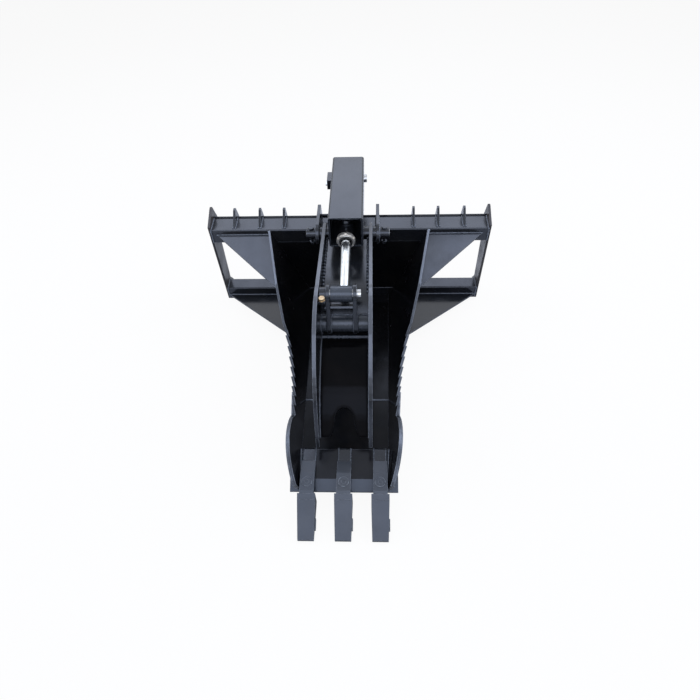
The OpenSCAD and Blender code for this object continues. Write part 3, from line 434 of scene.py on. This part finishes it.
def bowlWelds():
    top = bowl["edgeTop"]
    paths = [[(wallOut(y, z), y, z) for y, z in gusset] for gusset in bowl["gussets"]]
    paths.append([(wallOut(0, z), coupler["face"], z) for z in bowl["backZ"]])
    for edge in (wallIn, wallOut):
        paths.append([(edge(y, top), y, top)
                      for y in (bowl["frontY"], bowl["stepY"] - bowl["stepGap"])])
    paths = bothSides(paths)
    seam = bellyTop(bowl["seamY"])
    half = wallIn(bowl["seamY"], seam) - bowl["seamGap"]
    paths.append([(-half, bowl["seamY"], seam), (half, bowl["seamY"], seam)])
    for i in (-1, 0, 1):
        for edge in (-bowl["shankHalf"], bowl["shankHalf"]):
            x = i * bowl["toothPitch"] + edge
            paths.append([(x, bowl["shankFront"], top), (x, bowl["stepY"], top)])
    return paths


# Clamp arm, closed: places in the arm's plane are Y and Z. The top skin's points run from the rear
# forward, and short stitches hold it as far as the last but one.
arm = {"inside": 84.5, "outside": 97.2, "hub": 25, "cross": (-486, -31), "crossRadius": 30,
       "skin": 9.5, "skinZ": -82, "skinRear": -74, "seamY": -517, "seamRise": 2, "seamGap": 3,
       "tip": (-822, -243), "throat": (-748, -118), "throatEnd": (-560, -82), "curveSteps": 10,
       "topSkin": ((-92, 13), (-230, 26), (-340, 33), (-410, 27), (-468, -7)), "topPlate": 6.4,
       "bendSteps": 12, "sharpAngle": 35, "stitch": 17, "stitchShare": 0.2, "stitchIn": 4,
       "endRise": 2, "lugFaces": (39.5, 52.2), "lugsLeft": 8,
       "beadMm": {"plates": 3.8, "lugs": 5.0, "stitches": 5.4, "seam": 7.5, "skinEnd": 4.6}}


# The upper skin that closes the arm behind the clevis; it is only here, not in the CAD
def armTopSkin():
    knots = [Vector((0, y, z)) for y, z in arm["topSkin"]]
    line = []
    for i in range(len(knots) - 1):
        before, a, b, after = (knots[max(i - 1, 0)], knots[i], knots[i + 1],
                               knots[min(i + 2, len(knots) - 1)])
        leave, arrive = a + (b - before) / 6, b - (after - a) / 6  # a sixth makes the bends run on
        line += interpolate_bezier(a, leave, arrive, b, arm["bendSteps"] + 1)[:-1]
    line.append(knots[-1])
    rows = []
    work = bmesh.new()
    for i, p in enumerate(line):
        along = (line[min(i + 1, len(line) - 1)] - line[max(i - 1, 0)]).normalized()
        low = p + Vector((0, -along.z, along.y)) * arm["topPlate"]
        rows.append([work.verts.new(atRest((x, q.y, q.z)))
                     for x, q in ((-arm["inside"], p), (arm["inside"], p),
                                  (arm["inside"], low), (-arm["inside"], low))])
    for first, second in zip(rows, rows[1:]):
        for k in range(4):
            work.faces.new((first[k], first[(k + 1) % 4], second[(k + 1) % 4], second[k]))
    work.faces.new(rows[0])
    work.faces.new(reversed(rows[-1]))
    bmesh.ops.recalc_face_normals(work, faces=work.faces)
    mesh = bpy.data.meshes.new("armTopSkin")
    work.to_mesh(mesh)
    work.free()
    mesh.materials.append(finishes["powderCoatPlate"])
    piece = newObject("armTopSkin", mesh)
    for face in mesh.polygons:
        face.use_smooth = abs(face.normal.x) < 0.5  # the two cut sides stay flat
    mesh.set_sharp_from_angle(angle=math.radians(arm["sharpAngle"]))
    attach(piece, "arm")
    print("upper skin of the arm in place")


def curve(p, c, q, steps):  # from p to q, drawn towards c
    points = []
    for i in range(steps + 1):
        t = i / steps
        points.append([(1 - t) ** 2 * p[k] + 2 * t * (1 - t) * c[k] + t * t * q[k] for k in (0, 1)])
    return points


# The front skin's joint with the plates, the cross tube's and the hub's
def plateWelds():
    inner, top, last = arm["inside"], arm["skinZ"] + arm["skin"], arm["curveSteps"]
    under = curve(arm["tip"], arm["throat"], arm["throatEnd"], last)
    along = []
    for i, p in enumerate(under):
        a, b = under[max(i - 1, 0)], under[min(i + 1, last)]
        length = math.dist(a, b)
        along.append((inner, p[0] - arm["skin"] * (b[1] - a[1]) / length,
                      p[1] + arm["skin"] * (b[0] - a[0]) / length))
    return bothSides([
        along + [(inner, arm["seamY"], top)],
        [(inner, arm["seamY"], top), (inner, arm["skinRear"], top)],
        ring(inner, arm["cross"], arm["crossRadius"]),
        ring(arm["outside"], coupler["pivot"], arm["hub"]),
    ])


def lugWelds():
    return [ring(s * face - arm["lugsLeft"], arm["cross"], arm["crossRadius"])
            for face in arm["lugFaces"] for s in (-1, 1)]


def stitchWelds():
    stitches = []
    x = arm["inside"] - arm["stitchIn"]
    for (y0, z0), (y1, z1) in zip(arm["topSkin"], arm["topSkin"][1:-1]):
        count = round(math.dist((y0, z0), (y1, z1)) / arm["stitch"])
        for i in range(count):
            near, far = i / count, (i + arm["stitchShare"]) / count
            stitches.append([(x, y0 + (y1 - y0) * t, z0 + (z1 - z0) * t + arm["stitchIn"])
                             for t in (near, far)])
    return bothSides(stitches)


def seamWeld():
    top = arm["skinZ"] + arm["skin"] + arm["seamRise"]
    half = arm["inside"] - arm["seamGap"]
    return [[(-half, arm["seamY"], top), (half, arm["seamY"], top)]]


def skinEndWeld():
    y, z = arm["topSkin"][-1]
    half, rise = arm["inside"] - arm["endRise"], arm["endRise"]
    return [[(-half, y - rise, z + rise), (half, y - rise, z + rise)]]


def beads(radiusMm, paths):
    return [(radiusMm, path) for path in paths]


armTopSkin()
weldPiece("bucketWelds", "bucket",
          beads(coupler["beadMm"], couplerWelds()) + beads(bowl["beadMm"], bowlWelds()), seed=3)
armBead = arm["beadMm"]
weldPiece("clampArmWelds", "arm",
          beads(armBead["plates"], plateWelds()) + beads(armBead["lugs"], lugWelds())
          + beads(armBead["stitches"], stitchWelds()) + beads(armBead["seam"], seamWeld())
          + beads(armBead["skinEnd"], skinEndWeld()), seed=7)


# Rubber wiper round the rod, at the gland's mouth: at is how far it is from the base pin along the
# barrel, and lift is the barrel's angle in degrees
wiper = {"pivot": (178, 102), "lift": -0.7621, "at": 382, "inner": 20.1, "outer": 25.5, "thick": 2.5,
         "chamfer": 1, "segments": 64}


def rodWiper():
    turn = Matrix.Rotation(math.radians(90 - wiper["lift"]), 3, "X")
    inner, outer, thick, cut = (wiper[k] for k in ("inner", "outer", "thick", "chamfer"))
    profile = [(inner, 0), (outer, 0), (outer - cut, thick), (inner + cut, thick), (inner, cut)]
    work = bmesh.new()
    rows = []
    for i in range(wiper["segments"]):
        a = 2 * math.pi * i / wiper["segments"]
        row = []
        for r, z in profile:
            p = turn @ Vector((r * math.cos(a), r * math.sin(a), wiper["at"] + z))
            row.append(work.verts.new(atRest((p.x, p.y + wiper["pivot"][0], p.z + wiper["pivot"][1]))))
        rows.append(row)
    n = len(profile)
    for i, row in enumerate(rows):
        nextRow = rows[(i + 1) % len(rows)]
        for k in range(n):
            work.faces.new((row[k], nextRow[k], nextRow[(k + 1) % n], row[(k + 1) % n]))
    bmesh.ops.recalc_face_normals(work, faces=work.faces)
    mesh = bpy.data.meshes.new("rodWiper")
    work.to_mesh(mesh)
    work.free()
    mesh.materials.append(finishes["mouldedRubber"])
    piece = newObject("rodWiper", mesh)
    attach(piece, "cylinder")
    print("rod wiper in place")


rodWiper()

# A pale floor, so wide that a low view shows its far edge only as a faint horizon. The camera sees it
# mostly as white, glow parts in one, and the rest keeps the object's shadow. half and drop are in metres.
room = {"half": 40, "drop": 0.0005, "floor": "#e6e6e6", "white": "#ffffff", "glow": 0.93,
        "worldLight": 0.15}


def paleFloor():
    mesh = bpy.data.meshes.new("paleFloor")
    corners = [(x * room["half"], y * room["half"], 0)
               for x, y in ((-1, -1), (1, -1), (1, 1), (-1, 1))]
    mesh.from_pydata(corners, [], [(0, 1, 2, 3)])
    floor = newObject("paleFloor", mesh)
    floor.location.z = -room["drop"]
    material, tree = newMaterial("paleFloor")
    path = addNode(tree, "ShaderNodeLightPath")
    share = addNode(tree, "ShaderNodeMath", {"operation": "MULTIPLY"},
                    {0: path.outputs["Is Camera Ray"], 1: room["glow"]})
    plain = addNode(tree, "ShaderNodeBsdfDiffuse", None, {"Color": linear(room["floor"])})
    glow = addNode(tree, "ShaderNodeEmission", None, {"Color": linear(room["white"]), "Strength": 1.0})
    both = addNode(tree, "ShaderNodeMixShader", None,
                   {0: share.outputs[0], 1: plain.outputs[0], 2: glow.outputs[0]})
    addNode(tree, "ShaderNodeOutputMaterial", None, {"Surface": both.outputs[0]})
    mesh.materials.append(material)


def whiteWorld():  # white to the camera and in mirror images, and a weak fill light otherwise
    world = bpy.data.worlds.new("whiteRoom")
    bpy.context.scene.world = world
    world.use_nodes = True
    tree = world.node_tree
    tree.nodes.clear()
    path = addNode(tree, "ShaderNodeLightPath")
    seen = addNode(tree, "ShaderNodeMath", {"operation": "ADD"},
                   {0: path.outputs["Is Camera Ray"], 1: path.outputs["Is Glossy Ray"]})
    seen = addNode(tree, "ShaderNodeMath", {"operation": "ADD", "use_clamp": True},
                   {0: seen.outputs[0], 1: path.outputs["Is Transmission Ray"]})
    lit = addNode(tree, "ShaderNodeBackground", None,
                  {"Color": linear(room["white"]), "Strength": room["worldLight"]})
    shown = addNode(tree, "ShaderNodeBackground", None, {"Color": linear(room["white"]), "Strength": 1.0})
    both = addNode(tree, "ShaderNodeMixShader", None,
                   {0: seen.outputs[0], 1: lit.outputs[0], 2: shown.outputs[0]})
    addNode(tree, "ShaderNodeOutputWorld", None, {"Surface": both.outputs[0]})


# Soft panels, in metres, of one cool daylight colour. Two overhead light the wings, the rear one the
# guard, the front one the bevel and the teeth, and the side ones the gussets. None hangs over the middle,
# where the bowl is dark in the photograph.
daylight = "#e4ecff"
studio = {
    "overheadLeft": {"at": (-1.55, 0.9, 2.7), "aim": (-0.3, 0.0, 0.3), "width": 1.7, "height": 1.9,
                     "radiance": 2.9},
    "overheadRight": {"at": (1.55, 0.9, 2.7), "aim": (0.3, 0.0, 0.3), "width": 1.7, "height": 1.9,
                      "radiance": 3.0},
    "rearPanel": {"at": (0.0, 3.0, 2.5), "aim": (0.0, 0.2, 0.5), "width": 3.4, "height": 1.3,
                  "radiance": 2.0},
    "frontPanel": {"at": (0.0, -2.5, 2.5), "aim": (0.0, -0.4, 0.2), "width": 5.0, "height": 2.2,
                   "radiance": 2.4},
    "sideLeft": {"at": (-3.2, 1.1, 2.5), "aim": (0.0, 0.0, 0.3), "width": 3.6, "height": 1.6,
                 "radiance": 2.6},
    "sideRight": {"at": (3.1, 1.1, 2.5), "aim": (0.0, 0.0, 0.3), "width": 3.6, "height": 1.6,
                  "radiance": 3.2},
}


def softPanel(name, panel):
    light = bpy.data.lights.new(name, "AREA")
    light.color = linear(daylight)[:3]
    light.shape = "RECTANGLE"
    light.size, light.size_y = panel["width"], panel["height"]
    light.energy = panel["radiance"] * math.pi * panel["width"] * panel["height"]
    lamp = newObject(name, light)
    lamp.location = panel["at"]
    lamp.rotation_euler = (Vector(panel["aim"]) - Vector(panel["at"])).to_track_quat("-Z", "Y").to_euler()


paleFloor()
whiteWorld()
for name, panel in studio.items():
    softPanel(name, panel)

# The camera was fitted to the photograph on the coupler's axes: angles in degrees, place in mm
shot = {"pitch": 52.52, "yaw": 3.76, "roll": 3.03, "focalPx": 539.2, "widthPx": 700, "sensorMm": 36,
        "at": (94, -1725, 1431)}


def fittedCamera():
    pitch, yaw, roll = (math.radians(shot[k]) for k in ("pitch", "yaw", "roll"))
    across = Vector((math.cos(yaw), math.sin(yaw), 0))
    ahead = Vector((-math.sin(yaw) * math.cos(pitch), math.cos(yaw) * math.cos(pitch), -math.sin(pitch)))
    down = ahead.cross(across)
    right = math.cos(roll) * across + math.sin(roll) * down
    up = math.sin(roll) * across - math.cos(roll) * down
    turn = leanTurn @ Matrix((right, up, -ahead)).transposed()
    lens = bpy.data.cameras.new("photoCamera")
    lens.sensor_width = shot["sensorMm"]
    lens.lens = shot["sensorMm"] * shot["focalPx"] / shot["widthPx"]
    camera = newObject("photoCamera", lens)
    camera.matrix_world = Matrix.Translation(atRest(shot["at"])) @ turn.to_4x4()
    bpy.context.scene.camera = camera


fittedCamera()
bpy.context.scene.view_settings.view_transform = "Standard"
print("floor, light and camera set")
